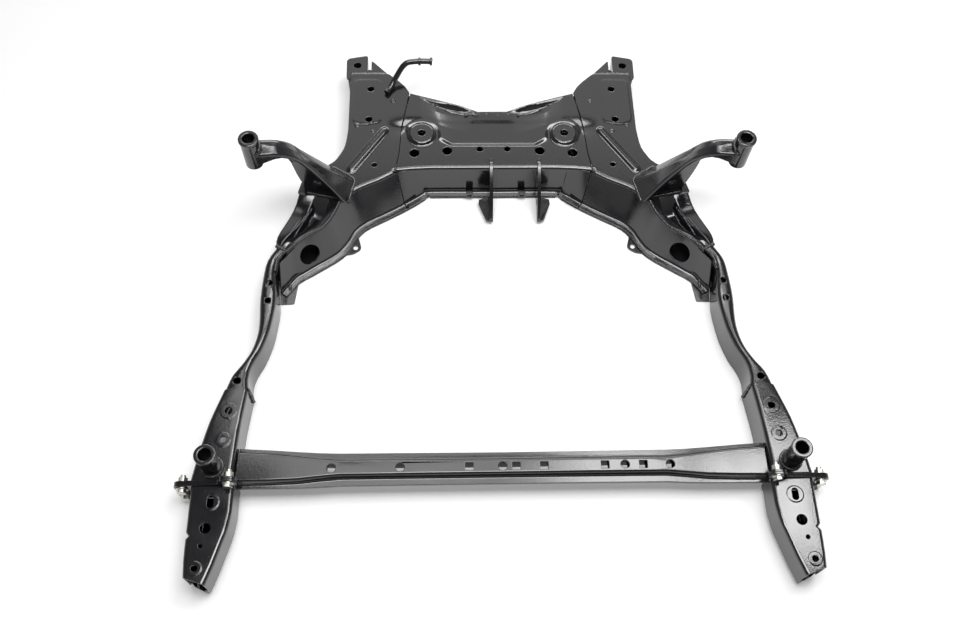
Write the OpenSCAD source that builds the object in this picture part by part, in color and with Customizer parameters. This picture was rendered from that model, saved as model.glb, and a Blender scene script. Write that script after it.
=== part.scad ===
// Front suspension subframe: welded sheet steel cradle with horns, legs, crush cans and a front beam.
// Millimetres, Z up. X runs across the car, Y runs to its rear, the floor plane is Z 0.

/* [Sheet metal] */
// thickness of the pressed steel
sheet = 3; // [2.6:0.1:3.4]
// height of the crossmember deck above the floor plane
deck_h = 64; // [60:1:70]
// width of the weld flange along the foot of the front wall
flange_w = 10.5; // [8:0.5:13]
// height of the raised pads and ribs pressed into the deck
rib_h = 3; // [2:0.5:4]
// depth of the steering gear saddle in the middle of the deck
saddle_d = 8; // [5:0.5:11]
// access hole in each side wall
access_d = 35; // [30:1:37]

/* [Body mounts] */
// bore of the four body mount sleeves
mount_bore = 18; // [16:0.5:20]
// outside diameter of the sleeve tubes
sleeve_d = 28; // [26:0.5:30]
// outside diameter of the sleeve seat flanges
seat_d = 31; // [30.5:0.5:34]
// thickness of the sleeve seat flanges
seat_t = 6; // [4:0.5:8]
// half the spacing of the front sleeves across the car
front_mount_x = 420.5; // [418:0.5:423]
// height of the front sleeve seats
front_mount_z = 118; // [108:1:126]
// height of the horn sleeve seats
horn_mount_z = 225; // [220:1:232]
// hole in the rear mount tabs
tab_hole_d = 13; // [11:0.5:15]

/* [Steering gear seats] */
// half the spacing of the steering gear bolts
gear_x = 122.5; // [121:0.5:124]
// hole for the steering gear bolts
gear_hole_d = 12.5; // [10.5:0.5:14.5]
// diameter of the raised seats round them
gear_seat_d = 48; // [44:1:50]

/* [Torque rod bracket] */
// clear width between the two ears
clevis_w = 75; // [70:1:80]
// middle of the bracket, right of the centre line
clevis_x = 35.5; // [33:0.5:38]
// hole for the torque rod bolt
clevis_hole_d = 12.5; // [10.5:0.5:14.5]
// thickness of the ears
ear_t = 6; // [4:0.5:7]

/* [Front members] */
// height of the legs
leg_h = 60; // [56:1:62]
// height of the front platforms
plat_h = 63; // [61:1:66]
// height of the crush cans
can_h = 62; // [58:1:64]
// height of the front beam top
beam_top = 52; // [50:1:55]
// height of the front beam underside
beam_low = 16; // [12:1:20]
// round holes along the front beam
beam_hole_d = 13; // [10:0.5:15]
// square holes along the front beam
beam_square = 12; // [9:0.5:13]
// thickness of the bolted joint plates
plate_t = 4; // [3:0.5:5]

/* [Fasteners] */
// thread of the joint bolts
bolt_d = 8; // [6:1:10]
// across flats of the joint bolt heads and nuts
bolt_af = 13; // [11:1:15]
// across flats of the nuts welded to the horns
nut_af = 18; // [16:1:20]

/* [Hidden] */
$fn = 48;

steel = [0.13, 0.13, 0.14];
zinc = [0.6, 0.6, 0.58];
roof = deck_h - sheet;
fit = 0.35;
arc_step = 15;

// half outline points of the front wall, from the middle of the car to the right leg
wall_head = [[0, 221], [105, 221.5], [134, 220], [163, 213.5], [192, 197.6], [229, 179], [251, 158],
  [265.5, 137], [275, 116], [291, 100], [312, 87], [326, 70], [334.5, 58], [341.5, 49.4], [348.3, 40.4]];
wall_foot = [[0, 213], [106, 213.4], [122, 208], [152, 187], [190, 164.5], [219, 148], [236, 132],
  [246, 113], [257, 95.5], [273, 81.5], [296, 66], [316, 52.5], [329, 44], [339, 31], [351, 14]];
wall_end = len(wall_head) - 1;
wall_seam = 3;
// where the wall drops below the leg, as places along it
drop_from = 9.4;
drop_to = 11.6;

// outboard outline of the crossmember box, from the rear lip to the arm bracket
box_rim = [[139, 372, 10], [160, 396, 14], [186, 412, 14], [246, 412, 8], [246, 300, 80],
  [250, 262, 60], [266, 234, 30], [318, 196, 24], [325, 170.4, 0]];

// leg edges seen from above, inner and outer, from the bracket to the platform
leg_in = [[338.5, 61.5], [351.5, 46], [353.5, 20], [349.5, -22], [353, -60], [357.5, -85], [366, -112],
  [377, -135], [382, -155], [380.5, -178]];
leg_out = [[354.5, 71], [368, 46], [372, 18], [374, -22], [372, -60], [373, -85], [380, -112],
  [392.5, -135], [406.5, -155], [414.5, -178]];
leg_lean = [6, 8, 9, 10, 12, 13, 12, 9, 6, 4];

plate_y = -320;
plat_in = [[380, -178.5], [382.5, -200], [386, -230], [388.5, -266], [390.5, plate_y + 23],
  [391.5, plate_y + 0.4]];
plat_out = [[415.5, -178.5], [423, -200], [433, -230], [441.5, -266], [447.5, plate_y + 23],
  [451, plate_y + 0.4]];

can_in = [[388, 0], [388, -37], [390.5, -57], [393, -68], [394.5, -73], [396, -78], [399.5, -90],
  [406, -112], [416, -140]];
can_out = [[449.5, 0], [449.5, -37], [449.5, -57], [449.5, -66], [445.5, -71], [449.5, -76],
  [449.5, -90], [449, -108], [447.5, -129]];
can_y = plate_y - 2 * plate_t;

front_mount_y = plate_y + 19.5;
horn_mount = [379, 160.5];
tab_hole = [237.3, 445.3];
lug = [233.8, 101.8];
lug_end = 10.6;
gear_y = 291;

function unit(v) = v / norm(v);
function clamp(v) = max(-1, min(1, v));
function flip(p) = [-p.x, p.y];
function lift(p, z) = [p.x, p.y, z];
function turned(list) = [for (i = [len(list) - 1:-1:0]) list[i]];
function mean(list) = [for (i = list) 1] * list / len(list);

// smooth curve through a list of points, at a real index
function blend(a, b, c, d, f) =
  0.5 * (2 * b + (c - a) * f + (2 * a - 5 * b + 4 * c - d) * f * f + (3 * b - a - 3 * c + d) * f * f * f);
function along(p, f) =
  let (n = len(p) - 1, i = min(floor(f), n - 1))
  blend(p[max(i - 1, 0)], p[i], p[i + 1], p[min(i + 2, n)], f - i);
function even(p, n) = [for (i = [0:n]) along(p, i * (len(p) - 1) / n)];

// outline with round corners from a list of x, y, radius
function corner(a, b, c) =
  let (
    p = [b.x, b.y],
    u = unit(p - [a.x, a.y]),
    v = unit([c.x, c.y] - p),
    s = u.x * v.y - u.y * v.x,
    turn = acos(clamp(u * v)),
    w = s > 0 ? [-u.y, u.x] : [u.y, -u.x],
    n = max(1, ceil(turn / arc_step))
  )
  b.z <= 0 || turn < 2 ? [p] :
  [for (i = [0:n]) p - u * b.z * tan(turn / 2) + b.z * (sin(turn * i / n) * u + (1 - cos(turn * i / n)) * w)];
function outline(q) =
  [for (i = [0:len(q) - 1]) each corner(q[(i + len(q) - 1) % len(q)], q[i], q[(i + 1) % len(q)])];
function path(q) = concat(
  [[q[0].x, q[0].y]],
  [for (i = [1:len(q) - 2]) each corner(q[i - 1], q[i], q[i + 1])],
  [[q[len(q) - 1].x, q[len(q) - 1].y]]);

// the same path moved sideways, to its left for a positive amount
function left_of(a, b) = unit([a.y - b.y, b.x - a.x]);
function moved(p, d) =
  let (n = len(p) - 1)
  [for (i = [0:n])
    let (
      a = left_of(p[max(i - 1, 0)], p[max(i, 1)]),
      b = left_of(p[min(i, n - 1)], p[min(i + 1, n)])
    )
    p[i] + d * (a + b) / (1 + a * b)];
function ribbon(p, a, b) = concat(moved(p, a), turned(moved(p, b)));

// points of one bent corner of a sheet, outside and inside
function bend(a, b, c, r, t, way, k) =
  let (
    u = unit(b - a),
    v = unit(c - b),
    turn = acos(clamp(u * v)),
    w = unit(v - (v * u) * u),
    s = cross(way, u) * w > 0 ? 1 : -1,
    start = b - u * r * tan(turn / 2)
  )
  [for (i = [0:k])
    let (f = turn * i / k, o = start + r * (sin(f) * u + (1 - cos(f)) * w))
    [o, o + t * s * (cos(f) * w - sin(f) * u)]];
function section(q, radii, t, way, k) =
  let (n = len(q) - 1)
  concat(
    [[q[0], q[0] + t * unit(cross(way, q[1] - q[0]))]],
    n < 2 ? [] : [for (i = [1:n - 1]) each bend(q[i - 1], q[i], q[i + 1], radii[i - 1], t, way, k)],
    [[q[n], q[n] + t * unit(cross(way, q[n] - q[n - 1]))]]);
function two(a, b, c, d) = [[a, b, c], [a, c, d]];

// pressed sheet: each rail is one fold line, given at the same stations as the others
module pressed(rails, radii = [], t = sheet, k = 3) {
  ns = len(rails[0]);
  way = [for (j = [0:ns - 1])
    unit(mean([for (r = rails) r[min(j + 1, ns - 1)] - r[max(j - 1, 0)]]))];
  cuts = [for (j = [0:ns - 1]) section([for (r = rails) r[j]], radii, t, way[j], k)];
  m = len(cuts[0]);
  n = ns * m;
  e = n - m;
  polyhedron(
    points = concat([for (c = cuts) for (p = c) p[0]], [for (c = cuts) for (p = c) p[1]]),
    faces = concat(
      [for (j = [0:ns - 2]) for (i = [0:m - 2])
        let (a = j * m + i) each two(a, a + m, a + m + 1, a + 1)],
      [for (j = [0:ns - 2]) for (i = [0:m - 2])
        let (a = n + j * m + i) each two(a, a + 1, a + m + 1, a + m)],
      [for (j = [0:ns - 2]) let (a = j * m) each two(a, a + n, a + n + m, a + m)],
      [for (j = [0:ns - 2]) let (a = j * m + m - 1) each two(a, a + m, a + n + m, a + n)],
      [for (i = [0:m - 2]) each two(i, i + 1, n + i + 1, n + i)],
      [for (i = [0:m - 2]) let (a = e + i) each two(a, n + a, n + a + 1, a + 1)]));
}

// sheet laid over a grid of points, straight down by its thickness
module draped(grid, t = sheet) {
  nr = len(grid);
  nc = len(grid[0]);
  n = nr * nc;
  polyhedron(
    points = concat([for (r = grid) for (p = r) p], [for (r = grid) for (p = r) p - [0, 0, t]]),
    faces = concat(
      [for (j = [0:nr - 2]) for (i = [0:nc - 2])
        let (a = j * nc + i) each two(a, a + nc, a + nc + 1, a + 1)],
      [for (j = [0:nr - 2]) for (i = [0:nc - 2])
        let (a = n + j * nc + i) each two(a, a + 1, a + nc + 1, a + nc)],
      [for (j = [0:nr - 2]) let (a = j * nc) each two(a, a + n, a + n + nc, a + nc)],
      [for (j = [0:nr - 2]) let (a = j * nc + nc - 1) each two(a, a + nc, a + n + nc, a + n)],
      [for (i = [0:nc - 2]) each two(i, i + 1, n + i + 1, n + i)],
      [for (i = [0:nc - 2]) let (a = n - nc + i) each two(a, n + a, n + a + 1, a + 1)]));
}

module left() {
  mirror([1, 0, 0]) children();
}

module both() {
  children();
  mirror([1, 0, 0]) children();
}

module hole(p, d, z0 = -1, z1 = 80) {
  translate([p.x, p.y, z0]) cylinder(d = d, h = z1 - z0);
}

// front wall foot line moved out by the flange, for the wall and for the panel under it
function wall_xy(p, f) = f < 0 ? flip(along(p, -f)) : along(p, f);
function wall_out(f) = unit(
  let (d = wall_xy(wall_foot, min(f + 0.02, wall_end)) - wall_xy(wall_foot, f - 0.02)) [d.y, -d.x]);
function toe(f, w) = wall_xy(wall_foot, f) + w * wall_out(f);

function wall_top(f) = roof - (roof - leg_h + sheet + 0.8) * ease((f - drop_from) / (drop_to - drop_from));

module wall(stations) {
  difference() {
    pressed([
      [for (f = stations) lift(wall_xy(wall_head, f), wall_top(f))],
      [for (f = stations) lift(wall_xy(wall_foot, f), 2 * sheet)],
      [for (f = stations) lift(toe(f, flange_w), 2 * sheet)]], [6]);
    translate([-500, -500, sheet - 10]) cube([1000, 1000, 10]);
  }
}

module lower_panel() {
  front = [for (i = [0:20]) toe(lug_end * i / 20, flange_w + 1)];
  rim = path(concat([[24, 338, 30]], box_rim));
  bracket = path([[327, 163, 0], [358, 100, 12], [358, 77, 4], [337, 64, 1], [339.6, 61, 0]]);
  beside_leg = [for (q = even(leg_in, 30)) if (q.y > -5 && q.y < 60) q + [0.8, 0]];
  tail = path([[352, -5, 0], [330, -4, 3], [325.5, 32, 6], [314, 41, 0]]);
  half = concat(rim, bracket, beside_leg, tail, turned(front));
  color(steel)
    difference() {
      union() {
        linear_extrude(sheet) polygon(concat(half, turned([for (p = half) if (p.x > 0.1) flip(p)])));
        both() linear_extrude(sheet)
          polygon(outline([[230, 124, 4], [223.4, 99, 9], [237, 90, 9], [258, 86, 4], [262, 98, 0],
            [244, 124, 0]]));
      }
      both() {
        hole(lug, 8);
        hole([gear_x, gear_y], gear_hole_d + 1);
        hole([60, 275], 40);
        hole([200, 350], 34);
        hole([215, 240], 26);
        hole([285, 140], 30);
        hole([180, 225], 12);
      }
      hole([0, 300], 30);
    }
}

// centre panel: deck with the steering gear saddle pressed into it
function seam_x(y) =
  y > 310 ? 157 - (y - 310) * 0.2 : y > 250 ? 161 - (y - 250) / 15 : 161 + (250 - y) * 0.17;
function ease(f) = let (g = max(0, min(1, f))) g * g * (3 - 2 * g);
function deck_front(x) = lookup(abs(x), [[105, 219.5], [139, 217.7], [167, 214.6]]);
function rear_y(x) = 345 + max(0, abs(x) - 26) * 0.302;
function saddle_at(y) = y < 267 ? 0 : y < 276 ? (y - 267) / 9 : y < 317 ? 1 + 0.15 * sin((y - 276) * 4.4) :
  1 - 0.25 * ease((y - 317) / 6);
function deck_z(x, y, lip) = deck_h - saddle_d * saddle_at(y) * (1 - ease((abs(x) - 72) / 22)) * (1 - lip);

module centre_panel() {
  cols = [0, 13, 26, 42, 57, 72, 80, 87, 94, 108, 124, 139];
  across = concat([-1], -1 * turned(cols), [for (c = cols) if (c > 0) c], [1]);
  rows = [250, 267, 276, 286, 297, 308, 317, 323, 331, 338];
  color(steel)
    difference() {
      union() {
        draped([for (x = turned(across)) concat(
          [let (c = abs(x) == 1 ? x * (seam_x(214.6) - fit) : x) [c, deck_front(c), deck_h]],
          [for (y = rows) let (c = abs(x) == 1 ? x * (seam_x(y) - fit) : x) [c, y, deck_z(c, y, 0)]],
          [let (c = abs(x) == 1 ? x * (seam_x(379) - fit) : x)
            [c, rear_y(c), deck_z(c, 340, ease((abs(c) - 26) / 30))]])]);
        both() translate([gear_x, gear_y, 0]) rotate_extrude() polygon([[0, roof + 0.2],
          [gear_seat_d / 2, roof + 0.2], [gear_seat_d / 2, deck_h], [gear_seat_d / 2 - 3, deck_h + 4],
          [14, deck_h + 4], [12, deck_h + 2.5], [0, deck_h + 2.5]]);
      }
      both() {
        hole([gear_x, gear_y], gear_hole_d);
        hole([134.8, 251.5], 16);
        hole([79, 256], 16);
        hole([23.5, 259.7], 10.5);
      }
    }
}

module side_panel_right() {
  front = moved([for (f = [wall_seam:0.25:5.9]) along(wall_head, f)], -1.5);
  rim = outline([[143.5, 381, 6], [152, 396, 10], [163, 408, 10], [182, 425, 10], [248.5, 425, 6],
    [248.5, 300, 80], [252.5, 263, 60], [268, 236, 30], [320.5, 198, 20], [327.5, 170, 4],
    [256.5, 157.5, 2]]);
  color(steel)
    difference() {
      union() {
        translate([0, 0, roof]) linear_extrude(sheet)
          polygon(concat(rim, turned(front), [[167, 213], [161, 250], [157, 310]]));
        translate([0, 0, roof + 1]) linear_extrude(sheet + rib_h - 1)
          polygon(outline([[192, 410, 8], [242, 410, 8], [242, 318, 10], [222, 312, 10], [192, 318, 10]]));
        hull() {
          translate([186, 299, deck_h - 1]) cylinder(d1 = 16, d2 = 8, h = rib_h + 1);
          translate([240, 219, deck_h - 1]) cylinder(d1 = 16, d2 = 8, h = rib_h + 1);
        }
      }
      hole([212, 389], 11);
      hole([213.8, 322.6], 11);
      hole([202, 227.3], 8.5);
    }
}

module side_panel_left() {
  left() side_panel_right();
}

module rear_wall() {
  xs = [-136, -100, -70, -48, -26, 0, 26, 48, 70, 100, 136];
  color(steel) pressed([
    [for (x = xs) [x, rear_y(x) - 9, deck_z(x, 338, 0) - sheet - fit]],
    [for (x = xs) [x, rear_y(x) - 9, sheet]]]);
}

module front_wall() {
  color(steel) wall([for (i = [-12:12]) i * wall_seam / 12]);
}

module side_wall_right() {
  color(steel)
    difference() {
      wall([for (i = [0:30]) wall_seam + 0.03 + (wall_end - wall_seam - 0.03) * i / 30]);
      translate([305.6, 73.2, 30]) rotate([0, 63, 236]) translate([0, 0, -20]) cylinder(d = access_d, h = 40);
    }
}

module side_wall_left() {
  left() side_wall_right();
}

module outer_wall_right() {
  color(steel) translate([0, 0, sheet]) linear_extrude(roof - sheet)
    polygon(ribbon(path(box_rim), -1, -1 - sheet));
}

module outer_wall_left() {
  left() outer_wall_right();
}

// rear mount tab: thick seat lapped under the side panel, on two ribs, a tube and a low gusset
module rear_tab_right() {
  t = sheet + 2;
  seat = roof - t;
  color(steel)
    difference() {
      union() {
        translate([0, 0, seat]) linear_extrude(t)
          polygon(outline([[219, 468.6, 4], [257, 461, 8], [256, 416, 4], [219, 416, 0]]));
        translate([0, 0, seat - 2]) linear_extrude(sheet)
          polygon(outline([[210, 458, 2], [213, 458, 0], [213, 423, 0], [220, 423, 0], [220, 416, 0],
            [182, 416, 4], [180, 426, 4]]));
        translate([0, 0, 26]) linear_extrude(sheet)
          polygon(outline([[217, 464, 4], [222, 464, 0], [222, 416, 0], [190, 416, 4], [190, 434, 4]]));
        for (x = [219, 250]) translate([x, 0, 0]) rotate([90, 0, 90]) linear_extrude(sheet)
          polygon([[414, seat + 1], [414, 12], [424, 12], [458, seat - 26], [462, seat + 1]]);
        hole(tab_hole, tab_hole_d + 9, 20, seat + 1);
      }
      hole(tab_hole, tab_hole_d);
    }
}

module rear_tab_left() {
  left() rear_tab_right();
}

// horn: a sheet folded round a rising, outward leaning path, cut square on the deck
// heights are shares of the rise from the deck to the sleeve seat
horn_rise = horn_mount_z - deck_h;
horn_tip = horn_mount.x - sleeve_d / 4;
function risen(rail) = [for (p = rail) [p.x, p.y, deck_h + p.z * horn_rise]];

module horn_right() {
  side = [[314, 179, -0.04], [322, 181, 0.25], [333, 182, 0.51], [345, 180, 0.61], [358, 178, 0.634],
    [horn_tip, 175, 0.634]];
  back = [[318, 197, -0.04], [324, 198, 0.26], [333, 194, 0.52], [345, 188, 0.646], [358, 183, 0.67],
    [horn_tip, 180, 0.67]];
  ridge = [[266, 222, -0.04], [293, 212, 0.26], [312, 199, 0.52], [327, 190, 0.72], [347, 181, 0.84],
    [horn_tip, 178, 0.863]];
  brow = [[228, 195, -0.04], [272, 188, 0.25], [301, 181, 0.512], [318.5, 175, 0.70], [342, 167, 0.825],
    [horn_tip, 162.5, 0.853]];
  lip = [[240, 148, -0.04], [267, 158, 0.236], [292, 162, 0.503], [311, 159, 0.677], [338, 152.5, 0.807],
    [horn_tip, 146.5, 0.84]];
  edge = [[249, 150, -0.05], [277, 160, 0.217], [302, 164, 0.48], [322, 160, 0.66], [340, 153.5, 0.74],
    [horn_tip, 146.5, 0.68]];
  color(steel)
    difference() {
      pressed([for (r = [side, back, ridge, brow, lip, edge]) even(risen(r), 12)], [5, 8, 9, 4.2]);
      translate([200, 100, deck_h + 0.1 - 40]) cube([200, 150, 40]);
      hole(horn_mount, sleeve_d + 2 * fit, 100, horn_mount_z + 20);
    }
}

module horn_left() {
  left() horn_right();
}

// recessed front web of the horn, standing on the deck
nut_z = deck_h + 0.2 * horn_rise;

module horn_web_place() {
  translate([248, 160, 0]) rotate([0, 0, 12]) rotate([90, 0, 0]) children();
}

module horn_web_right() {
  color(steel)
    horn_web_place() difference() {
      translate([0, 0, -sheet]) linear_extrude(sheet)
        polygon(outline([for (q = [[4.5, 0, 0], [64, 0, 0], [76, 0.286, 30], [82, 0.49, 6], [63, 0.515, 8],
          [53, 0.47, 6], [28.5, 0.224, 20]]) [q.x, deck_h + 0.1 + q.y * horn_rise, q.z]]));
      translate([44, nut_z, -10]) cylinder(d = 13, h = 20);
    }
}

module horn_web_left() {
  left() horn_web_right();
}

module hexagon(af, h, d) {
  difference() {
    intersection() {
      cylinder(d = af / cos(30), h = h, $fn = 6);
      translate([0, 0, -0.01]) cylinder(d = af * 1.07, h = h + 0.02);
    }
    translate([0, 0, -1]) cylinder(d = d, h = h + 2);
  }
}

module horn_nuts() {
  color(zinc) both() horn_web_place() translate([44, nut_z, -sheet - 10]) hexagon(nut_af, 10, 10.5);
}

// mount sleeve: tube with a wider seat at its head
module sleeve(z0, z1) {
  r = seat_d / 2;
  rotate_extrude() polygon([[mount_bore / 2, z0], [sleeve_d / 2, z0], [sleeve_d / 2, z1 - seat_t - 2],
    [max(r - 1, sleeve_d / 2), z1 - seat_t], [r, z1 - seat_t + 1], [r, z1 - 1], [r - 1, z1], [mount_bore / 2 + 1, z1],
    [mount_bore / 2, z1 - 1]]);
}

module horn_sleeve_right() {
  color(steel) translate([horn_mount.x, horn_mount.y, 0]) sleeve(deck_h + 0.62 * horn_rise, horn_mount_z);
}

module horn_sleeve_left() {
  left() horn_sleeve_right();
}

// arm bracket: pocketed roof over the open bay that takes the suspension arm
// dip is the pocket's depth below its rim, level is the rim's and the root's height below the deck
module arm_bracket_right() {
  rim = [[325.5, 168.8], [331, 150], [338, 131], [346.5, 112], [353, 97.5], [357, 85], [356.2, 73]];
  root = [[256.8, 156.6], [264.5, 138.5], [273, 121], [284.5, 104.8], [304, 92], [323, 78.5], [338.4, 62.6]];
  dip = [0, 15, 16, 15, 11, 4, 0.3];
  level = [[0, 0], [7, -0.6], [7, -0.6], [6, -0.6], [5, -0.6], [4.5, 1.4], [deck_h - leg_h, deck_h - leg_h]];
  last = len(rim) - 1;
  steps = [[0, 0], [0, 1], [0.38, 1], [0.46, 2], [0.74, 2], [0.84, 3], [1, 3]];
  heights = [for (j = [0:last]) let (top = deck_h - level[j][0])
    [top - 24, top, top - dip[j], deck_h - level[j][1]]];
  color(steel) pressed([for (s = steps) even([for (j = [0:last])
    lift(rim[j] + s[0] * (root[j] - rim[j]), heights[j][s[1]])], 8)], [4, 3, 4, 4, 3]);
}

module arm_bracket_left() {
  left() arm_bracket_right();
}

// channel, open below, from an outer and an inner edge line
module channel(outer, inner, lean, top, foot, n) {
  o = even(outer, n);
  i = even(inner, n);
  l = even(lean, n);
  pressed([
    [for (j = [0:n]) lift(o[j] + [l[j], 0], foot)],
    [for (p = o) lift(p, top)],
    [for (p = i) lift(p, top)],
    [for (p = i) lift(p + [1.5, 0], foot)]], [7, 7]);
}

// floor strip closing a channel, held clear of its walls
module strip(outer, inner, lean, n) {
  o = even(outer, n);
  i = even(inner, n);
  l = even(lean, n);
  gap = sheet + 1.2;
  pressed([
    [for (j = [0:n]) lift(o[j] + [l[j] - gap, 0], sheet)],
    [for (p = i) lift(p + [1.5 + gap, 0], sheet)]]);
}

module leg_right() {
  color(steel)
    difference() {
      channel(leg_out, leg_in, leg_lean, leg_h, 1, 27);
      hole([361.5, 4.3], 10);
      hole([362.2, -27.6], 10);
      hole([397.9, -164], 11);
    }
}

module leg_left() {
  left() leg_right();
}

module leg_floor_right() {
  color(steel) strip(leg_out, leg_in, leg_lean, 27);
}

module leg_floor_left() {
  left() leg_floor_right();
}

module platform_right() {
  color(steel)
    difference() {
      union() {
        channel(plat_out, plat_in, [4, 4, 3, 2, 1, 1], plat_h, 1, 10);
        translate([405.3, -213.9, plat_h - 1]) cylinder(d1 = 30, d2 = 22, h = 2.5);
        translate([409.5, -258.7, plat_h - 1]) cylinder(d1 = 28, d2 = 20, h = 2.5);
      }
      hole([405.3, -213.9], 11, 40);
      hole([409.5, -258.7], 10, 40);
      hole([front_mount_x, front_mount_y], sleeve_d + 2 * fit, 40);
    }
}

module platform_left() {
  left() platform_right();
}

module platform_floor_right() {
  color(steel)
    difference() {
      strip(plat_out, plat_in, [4, 4, 3, 2, 1, 1], 10);
      hole([424, -236], 18);
      hole([front_mount_x, front_mount_y], mount_bore + 1);
    }
}

module platform_floor_left() {
  left() platform_floor_right();
}

module front_sleeve_right() {
  color(steel) translate([front_mount_x, front_mount_y, 0]) sleeve(sheet, front_mount_z);
}

module front_sleeve_left() {
  left() front_sleeve_right();
}

// bolted joint between platform and crush can
bolt_spots = [[394, can_h + 11], [464, 50], [464, 18]];

module joint_plate(y) {
  translate([0, y, 0]) rotate([90, 0, 0]) linear_extrude(plate_t - 0.05)
    difference() {
      polygon(outline([[389, 4, 3], [389, 56, 3], [383, can_h + 2, 4], [383, can_h + 21, 8],
        [405, can_h + 21, 8], [409, can_h + 5, 6], [475, 62, 10], [475, 6, 10], [455, 4, 3]]));
      for (p = bolt_spots) translate(p) circle(d = bolt_d + 1);
    }
}

module rear_plate_right() {
  color(steel) joint_plate(plate_y - 0.05);
}

module rear_plate_left() {
  left() rear_plate_right();
}

module front_plate_right() {
  color(steel) joint_plate(plate_y - plate_t);
}

module front_plate_left() {
  left() front_plate_right();
}

module joint_bolts() {
  reach = 2 * plate_t + 12;
  color(zinc) both() for (p = bolt_spots) translate([p.x, can_y, p.y]) rotate([90, 0, 0]) {
    hexagon(bolt_af, 7, 0);
    cylinder(d = bolt_af + 5, h = 1.8);
    translate([0, 0, -reach]) cylinder(d = bolt_d, h = reach + 1);
  }
}

module joint_nuts() {
  color(zinc) both() for (p = bolt_spots) translate([p.x, plate_y, p.y]) rotate([-90, 0, 0])
    difference() {
      union() {
        hexagon(bolt_af, 8, 0);
        cylinder(d = bolt_af + 4, h = 1.8);
      }
      translate([0, 0, -1]) cylinder(d = bolt_d + 0.3, h = 12);
    }
}

// crush can: deep channel with a fold notch in its outer edge
module can_right() {
  o = [for (p = can_out) p + [0, can_y]];
  i = [for (p = can_in) p + [0, can_y]];
  color(steel)
    difference() {
      union() {
        pressed([
          [for (p = o) lift(p, 14)],
          [for (p = o) lift(p, can_h)],
          [for (p = i) lift(p, can_h)],
          [for (p = i) lift(p, 14)]], [6, 6]);
        translate([418.5, can_y - 23.7, can_h - 1]) cylinder(d1 = 30, d2 = 22, h = 2.2);
        translate([431.6, can_y - 117.3, can_h - 1]) cylinder(d1 = 25, d2 = 18, h = 2.2);
      }
      hull() {
        hole([418.5, can_y - 19.5], 9);
        hole([418.5, can_y - 28], 9);
      }
      hole([422.3, can_y - 61.2], 15);
      hole([426.8, can_y - 86.3], 6);
      hole([431.6, can_y - 117.3], 9);
    }
}

module can_left() {
  left() can_right();
}

module can_floor_right() {
  gap = sheet + 1.2;
  o = [for (p = can_out) p + [-gap, can_y]];
  i = [for (p = can_in) p + [gap, can_y]];
  color(steel)
    difference() {
      pressed([
        [for (p = i) lift(p, 26)],
        [for (p = i) lift(p, 0)],
        [for (p = o) lift(p, 0)],
        [for (p = o) lift(p, 26)]], [6, 6]);
      hole([422.3, can_y - 61.2], 22, -1, 20);
      hole([431.6, can_y - 117.3], 13, -1, 20);
    }
}

module can_floor_left() {
  left() can_floor_right();
}

// front beam: two shallow hats, flange to flange, flared at the ends
beam_x = [-388.3, -345, -300, -270, -240, -120, 0, 120, 240, 270, 300, 345, 388.3];
beam_rear = [for (d = [47, 44, 39, 35, 33, 32.5, 32, 32.5, 33, 35, 39, 44, 47]) plate_y + d];
beam_front = [for (d = [0, 0.5, 2, 5, 7.5, 8, 8, 8, 7.5, 5, 2, 0.5, 0]) plate_y + d];
beam_mid = plate_y + 20;
beam_lip = [7, 7.5, 9, 11, 12, 12, 12, 12, 12, 11, 9, 7.5, 7];
beam_split = 40;
beam_rounds = [-252, -152, -2, 178, 245];
beam_squares = [-51, 18, 59, 148.5, 205];

module beam_half(face, lip_z, turn) {
  n = len(beam_x) - 1;
  rails = [
    [for (j = [0:n]) [beam_x[j], beam_rear[j] + beam_lip[j], lip_z]],
    [for (j = [0:n]) [beam_x[j], beam_rear[j] + 1.5, lip_z]],
    [for (j = [0:n]) [beam_x[j], beam_rear[j] - 1.5, face]],
    [for (j = [0:n]) [beam_x[j], beam_front[j] + 1.5, face]],
    [for (j = [0:n]) [beam_x[j], beam_front[j] - 1.5, lip_z]],
    [for (j = [0:n]) [beam_x[j], beam_front[j] - beam_lip[j], lip_z]]];
  pressed(turn ? turned(rails) : rails, [3.5, 4, 4, 3.5]);
}

module beam() {
  color(steel)
    difference() {
      beam_half(beam_top, beam_split + sheet, false);
      for (x = beam_rounds) hole([x, beam_mid], beam_hole_d, 20);
      for (x = beam_squares) translate([x, beam_mid, beam_top])
        cube([beam_square, beam_square, 40], center = true);
    }
}

module beam_floor() {
  color(steel)
    difference() {
      beam_half(beam_low, beam_split - sheet, true);
      for (x = concat(beam_rounds, beam_squares)) translate([x, beam_mid + 4, beam_low])
        cube([beam_hole_d + 5, beam_hole_d + 7, 2 * sheet + 2], center = true);
    }
}

// torque rod ears: a web standing on the front wall with a foot flange bent outward
module rod_ear(x, way) {
  web = [[205.5, 2 * sheet + fit], [212.3, 14], [217.5, roof - 1], [217.5, deck_h + fit], [238, deck_h + fit],
    [238, deck_h + 3.2], [216, deck_h + 5], [166, 32], [152, 17], [149, 2 * sheet + fit]];
  foot = [[0, 199], [20, 193], [21, 184], [9, 151], [0, 148]];
  translate([x, 0, 0]) {
    rotate([90, 0, 90]) translate([0, 0, -ear_t / 2]) linear_extrude(ear_t)
      difference() {
        polygon(web);
        translate([178, 25]) circle(d = clevis_hole_d);
      }
    translate([0, 0, 2 * sheet + fit]) linear_extrude(4)
      polygon([for (p = foot) [way * p.x, p.y]]);
  }
}

module rod_ear_left() {
  color(steel) rod_ear(clevis_x - clevis_w / 2 - ear_t / 2, -1);
}

module rod_ear_right() {
  color(steel) rod_ear(clevis_x + clevis_w / 2 + ear_t / 2, 1);
}

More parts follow.
